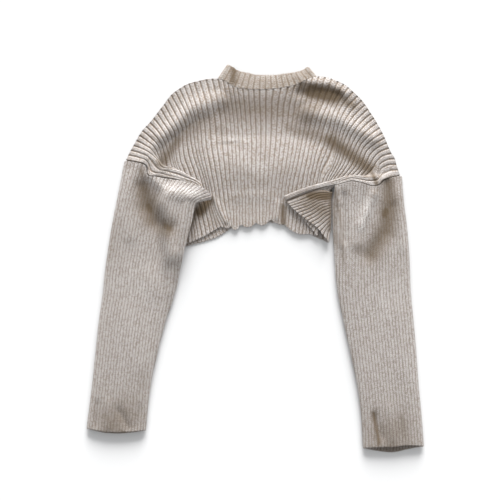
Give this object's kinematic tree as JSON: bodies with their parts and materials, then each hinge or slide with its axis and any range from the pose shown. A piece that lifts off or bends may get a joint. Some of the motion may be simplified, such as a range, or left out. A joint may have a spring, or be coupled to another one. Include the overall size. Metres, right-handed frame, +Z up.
{
  "type": "cropped knit sweater",
  "caption": "Cropped pullover in chunky rib knit with a wide shallow neckband and long straight sleeves, laid flat with a tuck at each side.",
  "frame": {"origin": "on the surface it lies on, at the middle of the overall box", "axes": "+Y towards the neck, +Z up out of the front, +X towards the sleeve with no tip folded over the body"},
  "size_m": [0.6044, 0.6986, 0.0267],
  "materials": {
    "body_knit": "soft heathered chunky rib, matte",
    "neckband_knit": "soft heathered fine rib, matte",
    "sleeve_knit": "soft heathered chunky rib, matte"
  },
  "bodies": {
    "root": {"front_panel": "body_knit", "back_panel": "body_knit", "neckband": "neckband_knit", "sleeve_left": "sleeve_knit", "sleeve_right": "sleeve_knit"}
  },
  "joints": []
}
